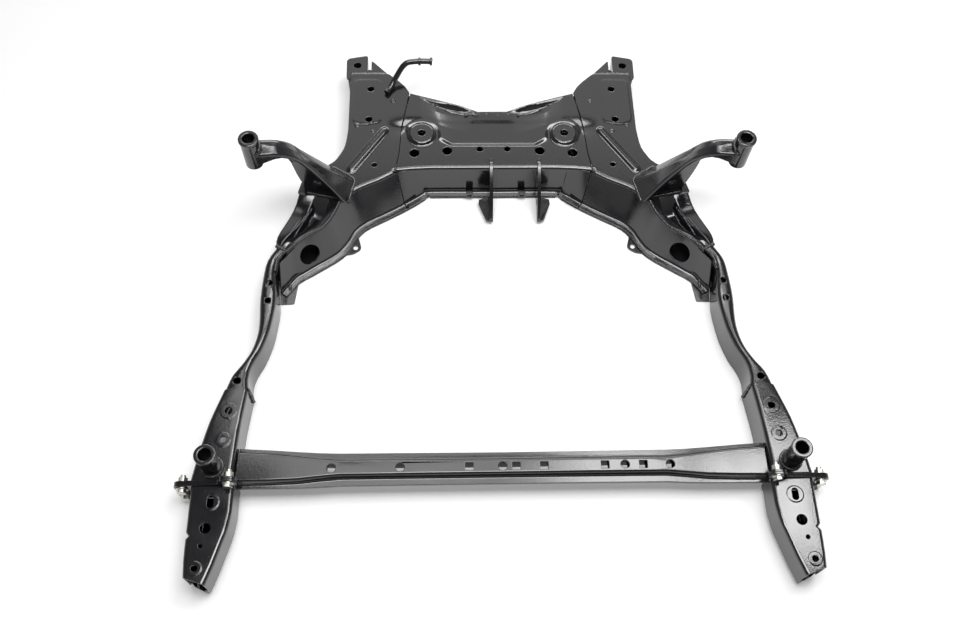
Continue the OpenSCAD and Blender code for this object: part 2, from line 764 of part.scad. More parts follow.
// spacers inside the box under the steering gear seats
module steering_spacers() {
  color(steel) both() translate([gear_x, gear_y, sheet]) difference() {
    cylinder(d = 26, h = roof - sheet);
    translate([0, 0, -1]) cylinder(d = gear_hole_d + 0.5, h = roof + 2);
  }
}

// round bar along a list of points
module bar(p, d, n = 12) {
  last = len(p) - 1;
  rings = [for (j = [0:last])
    let (
      way = unit(p[min(j + 1, last)] - p[max(j - 1, 0)]),
      u = unit(cross(way, [0, 0, 1])),
      v = cross(way, u)
    )
    for (i = [0:n - 1]) p[j] + d / 2 * (cos(i * 360 / n) * u + sin(i * 360 / n) * v)];
  polyhedron(
    points = rings,
    faces = concat(
      [[for (i = [0:n - 1]) i]],
      [[for (i = [n - 1:-1:0]) last * n + i]],
      [for (j = [0:last - 1]) for (i = [0:n - 1])
        let (a = j * n, k = (i + 1) % n) each two(a + i, a + n + i, a + n + k, a + k)]));
}

// bent hanger rod at the rear left
module hanger() {
  p = [[-184, 377, deck_h + 5.1], [-176, 390, deck_h + 6], [-167, 404, 79], [-152, 420, 93],
    [-134, 424, 96], [-104, 424, 96]];
  color(steel)
    union() {
      bar(even(p, 16), 10);
      for (x = [-128, -108]) translate([x, 424, 96]) rotate([0, 90, 0]) cylinder(d = 14, h = 4);
    }
}

// small clips standing on the front flange
module flange_clips() {
  color(steel) for (x = [-41, 49]) translate([x, 203, 2 * sheet]) difference() {
    translate([-6, -4, 0]) cube([12, 7, 11]);
    translate([-3.5, -5, 4]) cube([7, 9, 4]);
  }
}

// short lugs welded to the flange beside the wall seams
module flange_lugs() {
  color(steel) both() translate([137, 187.5, 2 * sheet]) rotate([0, 0, -34]) translate([-12, -4, 0])
    cube([24, 7, 4]);
}

lower_panel();
centre_panel();
side_panel_left();
side_panel_right();
rear_wall();
front_wall();
side_wall_left();
side_wall_right();
outer_wall_left();
outer_wall_right();
rear_tab_left();
rear_tab_right();
horn_left();
horn_right();
horn_web_left();
horn_web_right();
horn_sleeve_left();
horn_sleeve_right();
horn_nuts();
arm_bracket_left();
arm_bracket_right();
leg_left();
leg_right();
leg_floor_left();
leg_floor_right();
platform_left();
platform_right();
platform_floor_left();
platform_floor_right();
front_sleeve_left();
front_sleeve_right();
rear_plate_left();
rear_plate_right();
front_plate_left();
front_plate_right();
joint_bolts();
joint_nuts();
can_left();
can_right();
can_floor_left();
can_floor_right();
beam();
beam_floor();
rod_ear_left();
rod_ear_right();
steering_spacers();
hanger();
flange_clips();
flange_lugs();
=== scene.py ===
"""Looks of a welded front suspension subframe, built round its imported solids."""

import logging
import math
from dataclasses import dataclass
from enum import Enum
from typing import Any, Callable, Iterable, Protocol, Sequence

import bmesh
import bpy
import numpy as np
from mathutils import Matrix, Vector
from mathutils.bvhtree import BVHTree
from mathutils.geometry import delaunay_2d_cdt


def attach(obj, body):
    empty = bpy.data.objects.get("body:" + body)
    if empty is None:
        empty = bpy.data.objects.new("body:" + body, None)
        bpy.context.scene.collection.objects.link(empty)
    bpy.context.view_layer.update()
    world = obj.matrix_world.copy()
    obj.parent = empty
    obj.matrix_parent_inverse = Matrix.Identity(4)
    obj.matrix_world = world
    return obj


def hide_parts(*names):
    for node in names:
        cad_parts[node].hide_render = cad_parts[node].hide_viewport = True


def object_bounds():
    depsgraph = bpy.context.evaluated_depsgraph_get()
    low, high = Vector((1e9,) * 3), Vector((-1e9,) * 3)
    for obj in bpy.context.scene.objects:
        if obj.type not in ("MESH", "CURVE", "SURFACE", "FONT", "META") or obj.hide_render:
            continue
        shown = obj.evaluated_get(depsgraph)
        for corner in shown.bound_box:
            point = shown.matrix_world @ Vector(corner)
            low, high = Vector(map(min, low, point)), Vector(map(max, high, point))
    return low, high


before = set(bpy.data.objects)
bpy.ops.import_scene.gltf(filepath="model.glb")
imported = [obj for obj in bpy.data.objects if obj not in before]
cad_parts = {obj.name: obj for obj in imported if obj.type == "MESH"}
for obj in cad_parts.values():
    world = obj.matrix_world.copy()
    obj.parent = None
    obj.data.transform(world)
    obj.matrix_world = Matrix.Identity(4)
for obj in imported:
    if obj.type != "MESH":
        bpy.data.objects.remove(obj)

LOG = logging.getLogger("subframe")
MM = 0.001
BODY = "root"
CAD_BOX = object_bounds()
MERGE_MM = 0.01  # corners closer than this are one
FLAT_DEG = 0.2  # faces closer than this to one plane are one
Point = tuple[float, float, float]
Plan = tuple[float, float]
Mask = Callable[[np.ndarray], np.ndarray]


class Slot(Enum):
    """Material slots of the record."""

    COATED = "coated_steel"
    PLATED = "plated"


class Side(Enum):
    """Left or right half of the frame, as the sign of X."""

    LEFT = -1
    RIGHT = 1


# --- scene and nodes


def put(name: str, data: bpy.types.ID) -> bpy.types.Object:
    """Adds an object to the scene.

    Args:
        name: Name of the object.
        data: Its mesh, lamp or camera.

    Returns:
        The object, at the origin.
    """
    made = bpy.data.objects.new(name, data)
    bpy.context.scene.collection.objects.link(made)
    return made


def frozen(source: bpy.types.Object, name: str) -> bpy.types.Object:
    """Turns an object with live modifiers into a plain mesh object at the origin.

    Args:
        source: Object to evaluate; it is removed afterwards.
        name: Name of the new piece.

    Returns:
        The plain object, linked to the scene.
    """
    graph = bpy.context.evaluated_depsgraph_get()
    mesh = bpy.data.meshes.new_from_object(source.evaluated_get(graph))
    bpy.data.objects.remove(source)
    return put(name, mesh)


def dress(piece: bpy.types.Object, nodes: Sequence[str] = ()) -> bpy.types.Object:
    """Ties a finished piece to the body and the solids it stands for.

    Args:
        piece: Plain mesh object at the origin.
        nodes: Solids that the piece replaces.

    Returns:
        The same piece.
    """
    for node in nodes:
        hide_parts(node)
    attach(piece, BODY)
    LOG.info("%s: %d faces", piece.name, len(piece.data.polygons))
    return piece


def empty_tree(owner: bpy.types.Material | bpy.types.World) -> bpy.types.NodeTree:
    """Switches on the nodes of a material or world and clears them.

    Args:
        owner: Material or world.

    Returns:
        Its empty node tree.
    """
    owner.use_nodes = True
    owner.node_tree.nodes.clear()
    return owner.node_tree


def add(tree: bpy.types.NodeTree, kind: str, inputs: dict[Any, Any] | None = None,
        **settings: Any) -> bpy.types.Node:
    """Adds a node with its settings, values and links.

    Args:
        tree: Node tree that takes the node.
        kind: Blender's type name of the node.
        inputs: Input name or number, with a value or the socket that feeds it.
        **settings: Properties of the node.

    Returns:
        The new node.
    """
    node = tree.nodes.new(kind)
    for key, value in settings.items():
        setattr(node, key, value)
    for key, value in (inputs or {}).items():
        if isinstance(value, bpy.types.NodeSocket):
            tree.links.new(value, node.inputs[key])
        else:
            node.inputs[key].default_value = value
    return node


def maths(tree: bpy.types.NodeTree, operation: str, *values: Any) -> bpy.types.NodeSocket:
    """Adds a sum or other operation on numbers.

    Args:
        tree: Node tree.
        operation: Blender's name of the operation.
        *values: Numbers, or sockets that give them.

    Returns:
        The result.
    """
    return add(tree, "ShaderNodeMath", dict(enumerate(values)), operation=operation).outputs[0]


def noise(tree: bpy.types.NodeTree, place: bpy.types.NodeSocket, size_mm: float,
          detail: float) -> bpy.types.NodeSocket:
    """Adds a cloudy pattern.

    Args:
        tree: Node tree.
        place: Where the pattern is read.
        size_mm: About how far apart its features are.
        detail: Octaves of finer features.

    Returns:
        Its value, about 0 to 1.
    """
    scale = 1 / (size_mm * MM)
    inputs = {"Vector": place, "Scale": scale, "Detail": detail}
    return add(tree, "ShaderNodeTexNoise", inputs).outputs["Fac"]


def remap(tree: bpy.types.NodeTree, value: bpy.types.NodeSocket, given: Plan,
          wanted: Plan) -> bpy.types.NodeSocket:
    """Maps one range of values onto another.

    Args:
        tree: Node tree.
        value: Value to map.
        given: Its low and high end.
        wanted: What these become.

    Returns:
        The mapped value, held at its ends.
    """
    inputs = {"Value": value, "From Min": given[0], "From Max": given[1],
              "To Min": wanted[0], "To Max": wanted[1]}
    return add(tree, "ShaderNodeMapRange", inputs).outputs["Result"]


def bump(tree: bpy.types.NodeTree, height: bpy.types.NodeSocket,
         strength: float) -> bpy.types.NodeSocket:
    """Tilts the normals by a height pattern of one millimetre.

    Args:
        tree: Node tree.
        height: The pattern, 0 to 1.
        strength: Share of the tilt that is used.

    Returns:
        The tilted normal.
    """
    inputs = {"Height": height, "Strength": strength, "Distance": 1 * MM}
    return add(tree, "ShaderNodeBump", inputs).outputs["Normal"]


def linear(colour: str) -> tuple[float, float, float, float]:
    """Turns an sRGB hex colour into a linear one.

    Args:
        colour: Hex colour such as "#1c1c1e".

    Returns:
        Linear red, green, blue and an alpha of 1.
    """
    parts = [int(colour[i:i + 2], 16) / 255 for i in (1, 3, 5)]
    r, g, b = [c / 12.92 if c <= 0.04045 else ((c + 0.055) / 1.055) ** 2.4 for c in parts]
    return r, g, b, 1.0


# --- finishes


@dataclass(frozen=True)
class Finish:
    """A surface treatment, made into a material once and shared."""

    name: str

    def shader(self, tree: bpy.types.NodeTree, place: bpy.types.NodeSocket) -> dict[str, Any]:
        """Lays the finish's own patterns.

        Args:
            tree: Node tree of the material.
            place: Object coordinates.

        Returns:
            Inputs of the surface shader.
        """
        raise NotImplementedError

    def material(self) -> bpy.types.Material:
        """Builds the finish, or finds it where it is built already.

        Returns:
            The material.
        """
        ready = bpy.data.materials.get(self.name)
        if ready:
            return ready
        made = bpy.data.materials.new(self.name)
        tree = empty_tree(made)
        place = add(tree, "ShaderNodeTexCoord").outputs["Object"]
        surface = add(tree, "ShaderNodeBsdfPrincipled", self.shader(tree, place))
        add(tree, "ShaderNodeOutputMaterial", {"Surface": surface.outputs["BSDF"]})
        return made


@dataclass(frozen=True)
class DipCoat(Finish):
    """Black cathodic dip paint on pressed steel: semi-gloss, with faint orange peel and nibs."""

    name: str = "dip_coat_black"
    colour: str = "#121114"
    thin_colour: str = "#18171b"
    ior: float = 1.7
    smooth: float = 0.1
    dull: float = 0.18
    flow_mm: float = 55.0
    flow_range: Plan = (0.3, 0.7)
    peel_mm: float = 2.4
    peel_lift: float = 0.06
    nib_mm: float = 26.0
    nib_share: float = 0.045

    def shader(self, tree: bpy.types.NodeTree, place: bpy.types.NodeSocket) -> dict[str, Any]:
        """Lays the flow of the paint, its orange peel and its nibs; see Finish.shader."""
        flow = noise(tree, place, self.flow_mm, 4.0)
        gloss = remap(tree, flow, self.flow_range, (self.smooth, self.dull))
        tone = add(tree, "ShaderNodeMix", {
            "Factor": flow, "A": linear(self.colour), "B": linear(self.thin_colour)},
            data_type="RGBA")
        peel = noise(tree, place, self.peel_mm, 1.0)
        nibs = add(tree, "ShaderNodeTexVoronoi", {"Vector": place, "Scale": 1 / (self.nib_mm * MM)})
        nib = remap(tree, nibs.outputs["Distance"], (0.0, self.nib_share), (1.0, 0.0))
        return {"Base Color": tone.outputs["Result"], "Roughness": gloss, "IOR": self.ior,
                "Normal": bump(tree, maths(tree, "ADD", peel, nib), self.peel_lift)}


@dataclass(frozen=True)
class WeldCoat(Finish):
    """The same paint over a weld bead: it pools in the ripples and shines on their crests."""

    name: str = "dip_coat_on_weld"
    colour: str = "#141416"
    ior: float = 1.7
    roughness: float = 0.24
    grain_mm: float = 1.6
    grain_lift: float = 0.25

    def shader(self, tree: bpy.types.NodeTree, place: bpy.types.NodeSocket) -> dict[str, Any]:
        """Lays the grain of the bead; see Finish.shader."""
        grain = noise(tree, place, self.grain_mm, 3.0)
        return {"Base Color": linear(self.colour), "Roughness": self.roughness, "IOR": self.ior,
                "Normal": bump(tree, grain, self.grain_lift)}


@dataclass(frozen=True)
class ZincPlate(Finish):
    """Bright zinc plated steel, as on bolts and nuts: a pale metal with a fine frosted grain."""

    name: str = "zinc_plate"
    colour: str = "#c9c7c0"
    smooth: float = 0.22
    dull: float = 0.42
    grain_mm: float = 1.2
    grain_lift: float = 0.1

    def shader(self, tree: bpy.types.NodeTree, place: bpy.types.NodeSocket) -> dict[str, Any]:
        """Lays the frosted grain; see Finish.shader."""
        grain = noise(tree, place, self.grain_mm, 3.0)
        gloss = remap(tree, grain, (0.0, 1.0), (self.smooth, self.dull))
        return {"Base Color": linear(self.colour), "Metallic": 1.0, "Roughness": gloss,
                "Normal": bump(tree, grain, self.grain_lift)}


PAINT = DipCoat()
BEAD_PAINT = WeldCoat()
ZINC = ZincPlate()


# --- kinds of pieces


class Piece(Protocol):
    """Anything that builds one visible piece."""

    def build(self) -> bpy.types.Object:
        """Makes the piece.

        Returns:
            The dressed piece.
        """


@dataclass
class Skin:
    """One pressed or turned part: the solid's own mesh with broken edges and smooth folds.

    Flat faces are merged first, so that the bevels run evenly. Parts whose large faces would
    break up by that, such as the legs' tops, are left unmerged.
    """

    node: str
    edge_mm: float = 0.7
    finish: Finish = PAINT
    slot: Slot = Slot.COATED
    sharp_deg: float = 44.0
    merged: bool = True
    segments: int = 3

    def cleaned(self) -> bpy.types.Mesh:
        """Copies the solid's mesh, joins its corners and marks the edges to break.

        Returns:
            The mesh, with a bevel weight of 1 on sharp edges.
        """
        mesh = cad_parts[self.node].data.copy()
        mesh.materials.clear()
        work = bmesh.new()
        work.from_mesh(mesh)
        bmesh.ops.remove_doubles(work, verts=work.verts, dist=MERGE_MM * MM)
        bmesh.ops.dissolve_degenerate(work, edges=work.edges, dist=MERGE_MM * MM)
        if self.merged:
            bmesh.ops.dissolve_limit(work, angle_limit=math.radians(FLAT_DEG),
                                     verts=work.verts, edges=work.edges)
        weight = work.edges.layers.float.new("bevel_weight_edge")
        sharp = math.radians(self.sharp_deg)
        for edge in work.edges:
            edge[weight] = float(len(edge.link_faces) == 2 and edge.calc_face_angle(0) >= sharp)
        for face in work.faces:
            face.smooth = True
        work.to_mesh(mesh)
        work.free()
        return mesh

    def build(self) -> bpy.types.Object:
        """Makes the skin and lets it stand for its node.

        Returns:
            The dressed piece.
        """
        rough = put(self.node + "_rough", self.cleaned())
        bevel = rough.modifiers.new("edge", "BEVEL")
        bevel.limit_method = "WEIGHT"
        bevel.width = self.edge_mm * MM
        bevel.segments = self.segments
        bevel.use_clamp_overlap = False
        even = rough.modifiers.new("even", "WEIGHTED_NORMAL")
        even.keep_sharp = False
        piece = frozen(rough, self.node + "_skin")
        piece.data.materials.append(self.finish.material())
        return dress(piece, [self.node])


def pair(name: str, **settings: Any) -> list[Skin]:
    """The left and right skins of a part that comes in two hands.

    Args:
        name: Node name without its side.
        **settings: Fields of the skins.

    Returns:
        Both skins.
    """
    return [Skin(f"{name}_{side.name.lower()}", **settings) for side in Side]


def away(points: np.ndarray, ring: np.ndarray, closed: bool = True) -> np.ndarray:
    """Distance of each point from a line of points.

    Args:
        points: Plan points in millimetres.
        ring: Corners of the line.
        closed: Whether the last corner joins the first.

    Returns:
        Distances in millimetres.
    """
    starts, ends = (ring, np.roll(ring, -1, 0)) if closed else (ring[:-1], ring[1:])
    least = np.full(len(points), np.inf)
    for p, q in zip(starts, ends):
        d = q - p
        f = np.clip(((points - p) @ d) / max(d @ d, 1e-9), 0, 1)
        least = np.minimum(least, np.linalg.norm(points - p - f[:, None] * d, axis=1))
    return least


def within(points: np.ndarray, rings: Sequence[np.ndarray]) -> np.ndarray:
    """Tells which points lie on a sheet, inside its rim and outside its holes.

    Args:
        points: Plan points in millimetres.
        rings: Closed outlines of rim and holes.

    Returns:
        True for each point on the sheet.
    """
    inside = np.zeros(len(points), bool)
    x, y = points.T
    for ring in rings:
        for p, q in zip(ring, np.roll(ring, -1, 0)):
            spans = (p[1] > y) != (q[1] > y)
            if spans.any():
                cross = p[0] + (y - p[1]) / (q[1] - p[1] + 1e-12) * (q[0] - p[0])
                inside ^= spans & (x < cross)
    return inside


def neighbour_mean(heights: np.ndarray, sides: np.ndarray,
                   good: np.ndarray) -> tuple[np.ndarray, np.ndarray]:
    """Mean height of each point's neighbours.

    Args:
        heights: Height of each point.
        sides: Pairs of neighbours, each in both orders.
        good: Which points count as neighbours.

    Returns:
        The means, and how many neighbours each is made of.
    """
    here, there = sides[good[sides[:, 1]]].T
    count = np.bincount(here, minlength=len(heights))
    total = np.bincount(here, weights=heights[there], minlength=len(heights))
    return total / np.maximum(count, 1), count


@dataclass
class PressedDeck:
    """A deck panel as one pressed sheet: soft embossing, rolled front edge, broken hole edges.

    Rim and holes come from the solid's underside and the heights from its top. Rows of points
    run beside the edges, so that the bends there are even, and a staggered net fills the rest.
    """

    node: str
    front: Mask
    relief: Callable[[np.ndarray, np.ndarray], np.ndarray]
    lip: Mask | None = None
    sheet_mm: float = 3.0
    front_sheet_mm: float = 1.0
    least_sheet_mm: float = 0.15
    rim_step_mm: float = 2.0
    grid_mm: float = 1.5
    under_normal: float = -0.3
    probe_mm: float = 0.2
    rim_rows_mm: tuple[float, ...] = (0.35, 0.9)
    front_rows_mm: tuple[float, ...] = (
        0.3, 0.67, 1.2, 1.7, 2.1, 2.55, 3.1, 3.65, 4.3, 5.06, 5.8, 6.5, 7.0, 7.6)
    lip_rows_mm: tuple[float, ...] = (
        0.5, 1.5, 2.6, 3.7, 4.8, 5.9, 7.0, 8.1, 9.2, 10.4, 11.6, 12.8, 14.0)
    rim_clear_mm: float = 1.9
    front_clear_mm: float = 1.3
    lip_clear_mm: float = 1.2
    roll_mm: tuple[float, ...] = (0.0, 0.67, 1.7, 2.55, 3.65, 5.06, 6.5, 7.0)
    roll_drop_mm: tuple[float, ...] = (7.36, 4.23, 2.29, 1.44, 0.97, 0.47, 0.06, 0.0)
    break_mm: float = 0.9
    look_from_m: float = 0.3
    deepest_mm: float = 14.0
    fill_rounds: int = 8
    soften_rounds: int = 3
    own_share: float = 0.4
    crease_deg: float = 40.0

    def loops(self) -> list[np.ndarray]:
        """Edges of the panel's underside.

        Returns:
            Closed outlines in millimetres, the rim and the holes, with points close together.
        """
        work = bmesh.new()
        work.from_mesh(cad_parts[self.node].data)
        bmesh.ops.remove_doubles(work, verts=work.verts, dist=MERGE_MM * MM)
        under = {f for f in work.faces if f.normal.z < self.under_normal}
        links: dict[int, list[int]] = {}
        for edge in work.edges:
            if sum(f in under for f in edge.link_faces) == 1:
                one, two = (v.index for v in edge.verts)
                links.setdefault(one, []).append(two)
                links.setdefault(two, []).append(one)
        work.verts.ensure_lookup_table()
        found: list[np.ndarray] = []
        while links:
            start = next(iter(links))
            chain, here = [start], start
            while links.get(here):
                step = links[here].pop()
                links[step].remove(here)
                here = step
                if here == start:
                    break
                chain.append(here)
            links = {k: v for k, v in links.items() if v}
            ring = np.array([work.verts[i].co[:2] for i in chain]) / MM
            dense: list[np.ndarray] = []
            for p, q in zip(ring, np.roll(ring, -1, 0)):
                count = max(1, math.ceil(np.linalg.norm(q - p) / self.rim_step_mm))
                dense += [p + (q - p) * i / count for i in range(count)]
            found.append(np.array(dense))
        work.free()
        return found

    def on_lip(self, ring: np.ndarray) -> np.ndarray:
        """Tells which rim points lie on the rear lip.

        Args:
            ring: Rim points in millimetres.

        Returns:
            True on the lip.
        """
        return self.lip(ring) if self.lip else np.zeros(len(ring), bool)

    def rows(self, rings: Sequence[np.ndarray]) -> np.ndarray:
        """Rows of points beside the edges.

        Args:
            rings: Outlines of rim and holes.

        Returns:
            Plan points in millimetres.
        """
        lines: list[np.ndarray] = []
        for ring in rings:
            along = np.roll(ring, -1, 0) - np.roll(ring, 1, 0)
            length = np.linalg.norm(along, axis=1)[:, None] + 1e-9
            normal = np.stack([-along[:, 1], along[:, 0]], 1) / length
            inside = within(ring + normal * self.probe_mm, rings)
            inward = normal * np.where(inside, 1.0, -1.0)[:, None]
            front, lip = self.front(ring), self.on_lip(ring)
            for part, gaps in ((~front & ~lip, self.rim_rows_mm), (front, self.front_rows_mm),
                               (lip, self.lip_rows_mm)):
                lines += [ring[part] + inward[part] * gap for gap in gaps]
        inner = np.concatenate(lines)
        return inner[within(inner, rings)]

    def net(self, rings: Sequence[np.ndarray]) -> np.ndarray:
        """A staggered net of points over the sheet, clear of the rows beside the edges.

        Args:
            rings: Outlines of rim and holes.

        Returns:
            Plan points in millimetres.
        """
        rim = np.concatenate(rings)
        low, high = rim.min(0), rim.max(0)
        xs, ys = np.meshgrid(np.arange(low[0], high[0], self.grid_mm),
                             np.arange(low[1], high[1], self.grid_mm))
        odd = np.arange(xs.size) // xs.shape[1] % 2
        net = np.stack([xs.ravel() + odd * self.grid_mm / 2, ys.ravel()], 1)
        net = net[within(net, rings)]
        net = net[np.min([away(net, ring) for ring in rings], axis=0) > self.rim_clear_mm]
        front = rim[self.front(rim)]
        if len(front):
            net = net[away(net, front, False) > self.front_rows_mm[-1] + self.front_clear_mm]
        for side in Side:
            edge = rim[self.on_lip(rim) & (rim[:, 0] * side.value > 0)]
            if len(edge):
                edge = edge[np.argsort(edge[:, 0])]
                net = net[away(net, edge, False) > self.lip_rows_mm[-1] + self.lip_clear_mm]
        return net

    def draped(self, plan: np.ndarray, tris: np.ndarray) -> np.ndarray:
        """Heights of the solid's top, filled in where it is missed, and softened.

        Args:
            plan: Plan points in millimetres.
            tris: Triangles of the net.

        Returns:
            Heights in millimetres.
        """
        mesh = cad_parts[self.node].data
        solid = BVHTree.FromPolygons([v.co[:] for v in mesh.vertices],
                                     [p.vertices[:] for p in mesh.polygons])
        heights = np.full(len(plan), np.nan)
        for i, (x, y) in enumerate(plan):
            eye = Vector((x * MM, y * MM, self.look_from_m))
            hit = solid.ray_cast(eye, Vector((0, 0, -1)))[0]
            heights[i] = hit.z / MM if hit else np.nan
        sides = np.concatenate([tris[:, [0, 1]], tris[:, [1, 2]], tris[:, [2, 0]]])
        sides = np.concatenate([sides, sides[:, ::-1]])
        lowest = np.nanmedian(heights) - self.deepest_mm
        for _ in range(self.fill_rounds):
            lost = np.isnan(heights) | (heights < lowest)
            mean, count = neighbour_mean(heights, sides, ~lost)
            heights = np.where(lost & (count > 0), mean, heights)
        heights = np.where(np.isnan(heights), np.nanmedian(heights), heights)
        for _ in range(self.soften_rounds):
            mean, _count = neighbour_mean(heights, sides, np.ones(len(plan), bool))
            heights = self.own_share * heights + (1 - self.own_share) * mean
        return heights

    def faces_of_sheet(self, plan: np.ndarray, heights: np.ndarray,
                       rings: Sequence[np.ndarray]) -> tuple[np.ndarray, np.ndarray]:
        """Top and underside of the sheet, with its edges broken and its front rolled down.

        Args:
            plan: Plan points in millimetres.
            heights: Heights of the pressed sheet.
            rings: Outlines of rim and holes.

        Returns:
            Heights of the top and of the underside.
        """
        under = heights - self.sheet_mm
        near = np.min([away(plan, ring) for ring in rings], axis=0)
        r = self.break_mm
        rounded = r - np.sqrt(np.maximum(r * r - (r - near) ** 2, 0))
        top = heights - np.where(near < r, rounded, 0)
        rim = np.concatenate(rings)
        front = rim[self.front(rim)]
        if len(front):
            bend = np.interp(away(plan, front, False), self.roll_mm, self.roll_drop_mm)
            top = np.where(bend > 0, heights - bend, top)
            under = np.where(bend > 0, np.minimum(under, top - self.front_sheet_mm), under)
        return np.maximum(top, under + self.least_sheet_mm), under

    def build(self) -> bpy.types.Object:
        """Drapes a fine net over the solid, softens it and closes it to a sheet.

        Returns:
            The dressed panel.
        """
        rings = self.loops()
        points = np.concatenate([*rings, self.rows(rings), self.net(rings)])
        edges: list[tuple[int, int]] = []
        for ring in rings:
            base, count = len(edges), len(ring)
            edges += [(base + i, base + (i + 1) % count) for i in range(count)]
        flat = delaunay_2d_cdt([Vector(p) for p in points], edges, [], 0, 1e-4)
        plan, tris = np.array([v[:] for v in flat[0]]), np.array(flat[2])
        tris = tris[within(plan[tris].mean(1), rings)]
        heights = self.relief(plan, self.draped(plan, tris))
        top, under = self.faces_of_sheet(plan, heights, rings)
        count = len(plan)
        faces = [tuple(t) for t in tris] + [tuple(t[::-1] + count) for t in tris]
        ways = dict.fromkeys((t[i], t[(i + 1) % 3]) for t in tris for i in range(3))
        faces += [(b, a, a + count, b + count) for a, b in ways if (b, a) not in ways]
        sheet = np.concatenate([np.column_stack([plan, z]) for z in (top, under)]) * MM
        mesh = bpy.data.meshes.new(self.node + "_sheet")
        mesh.from_pydata(sheet.tolist(), [], faces)
        mesh.shade_smooth()
        mesh.set_sharp_from_angle(angle=math.radians(self.crease_deg))
        mesh.materials.append(PAINT.material())
        return dress(put(self.node + "_sheet", mesh), [self.node])


@dataclass
class Repeat:
    """Something small that a node group repeats, on both sides of the frame."""

    name: str

    def seeds(self) -> tuple[list[Point], list[tuple[int, int]]]:
        """Where it is repeated.

        Returns:
            Points in metres, and the edges between them.
        """
        raise NotImplementedError

    def sizes(self) -> dict[str, float]:
        """Inputs of the node group.

        Returns:
            Values by name.
        """
        raise NotImplementedError

    def grow(self, tree: bpy.types.NodeTree, given: Any) -> bpy.types.NodeSocket:
        """Lays the nodes that make the shape.

        Args:
            tree: Node group.
            given: Its inputs, by name.

        Returns:
            The shape's geometry.
        """
        raise NotImplementedError

    def build(self) -> bpy.types.Object:
        """Runs the node group over the seeds and keeps what it makes.

        Returns:
            The dressed piece.
        """
        mesh = bpy.data.meshes.new(self.name + "_seeds")
        mesh.from_pydata(*self.seeds(), [])
        seeds = put(self.name + "_seeds", mesh)
        tree = bpy.data.node_groups.new(self.name + "_nodes", "GeometryNodeTree")
        for way in ("INPUT", "OUTPUT"):
            tree.interface.new_socket("Geometry", in_out=way, socket_type="NodeSocketGeometry")
        values = {name: ("NodeSocketFloat", size) for name, size in self.sizes().items()}
        values["Paint"] = ("NodeSocketMaterial", BEAD_PAINT.material())
        nodes = seeds.modifiers.new("repeat", "NODES")
        keys = {name: tree.interface.new_socket(name, in_out="INPUT", socket_type=kind).identifier
                for name, (kind, _) in values.items()}
        given = add(tree, "NodeGroupInput").outputs
        shape = self.grow(tree, given)
        for kind in ("GeometryNodeRealizeInstances", "GeometryNodeSetShadeSmooth"):
            shape = add(tree, kind, {"Geometry": shape}).outputs[0]
        painted = {"Geometry": shape, "Material": given["Paint"]}
        shape = add(tree, "GeometryNodeSetMaterial", painted).outputs[0]
        add(tree, "NodeGroupOutput", {"Geometry": shape})
        nodes.node_group = tree
        for name, (_, value) in values.items():
            nodes[keys[name]] = value
        return dress(frozen(seeds, self.name))


@dataclass
class WeldBeads(Repeat):
    """Arc weld beads along the joints of one sub-assembly: lumpy tubes with even ripples."""

    runs: list[list[Point]]
    width_mm: float = 5.0
    ripple_mm: float = 3.2
    ripple_share: float = 0.13
    steps_per_ripple: int = 4
    lump_mm: float = 7.0
    lump_given: Plan = (0.25, 0.75)
    lump_wanted: Plan = (0.7, 1.3)
    corners: int = 9

    def seeds(self) -> tuple[list[Point], list[tuple[int, int]]]:
        """The runs as thin lines; see Repeat.seeds."""
        points: list[Point] = []
        edges: list[tuple[int, int]] = []
        for side in Side:
            for run in self.runs:
                first = len(points)
                points += [(x * side.value * MM, y * MM, z * MM) for x, y, z in run]
                edges += [(i, i + 1) for i in range(first, len(points) - 1)]
        return points, edges

    def sizes(self) -> dict[str, float]:
        """Width and ripples of the bead; see Repeat.sizes."""
        return {"Width": self.width_mm * MM, "Ripple": self.ripple_mm * MM,
                "Share": self.ripple_share}

    def grow(self, tree: bpy.types.NodeTree, given: Any) -> bpy.types.NodeSocket:
        """Sweeps a ring along the lines, swelling with each ripple; see Repeat.grow."""
        step = maths(tree, "MULTIPLY", given["Ripple"], 1 / self.steps_per_ripple)
        line = add(tree, "GeometryNodeMeshToCurve", {"Mesh": given["Geometry"]}).outputs[0]
        line = add(tree, "GeometryNodeResampleCurve", {"Curve": line, "Length": step},
                   mode="LENGTH").outputs[0]
        along = add(tree, "GeometryNodeSplineParameter").outputs["Length"]
        turns = maths(tree, "DIVIDE", along, given["Ripple"])
        wave = maths(tree, "SINE", maths(tree, "MULTIPLY", turns, math.tau))
        place = add(tree, "GeometryNodeInputPosition").outputs[0]
        lump = noise(tree, place, self.lump_mm, 2.0)
        lump = remap(tree, lump, self.lump_given, self.lump_wanted)
        swell = maths(tree, "MULTIPLY_ADD", wave, given["Share"], lump)
        ring = add(tree, "GeometryNodeCurvePrimitiveCircle", {
            "Resolution": self.corners, "Radius": maths(tree, "MULTIPLY", given["Width"], 0.5)})
        return add(tree, "GeometryNodeCurveToMesh", {
            "Curve": line, "Profile Curve": ring.outputs[0], "Scale": swell,
            "Fill Caps": True}).outputs[0]


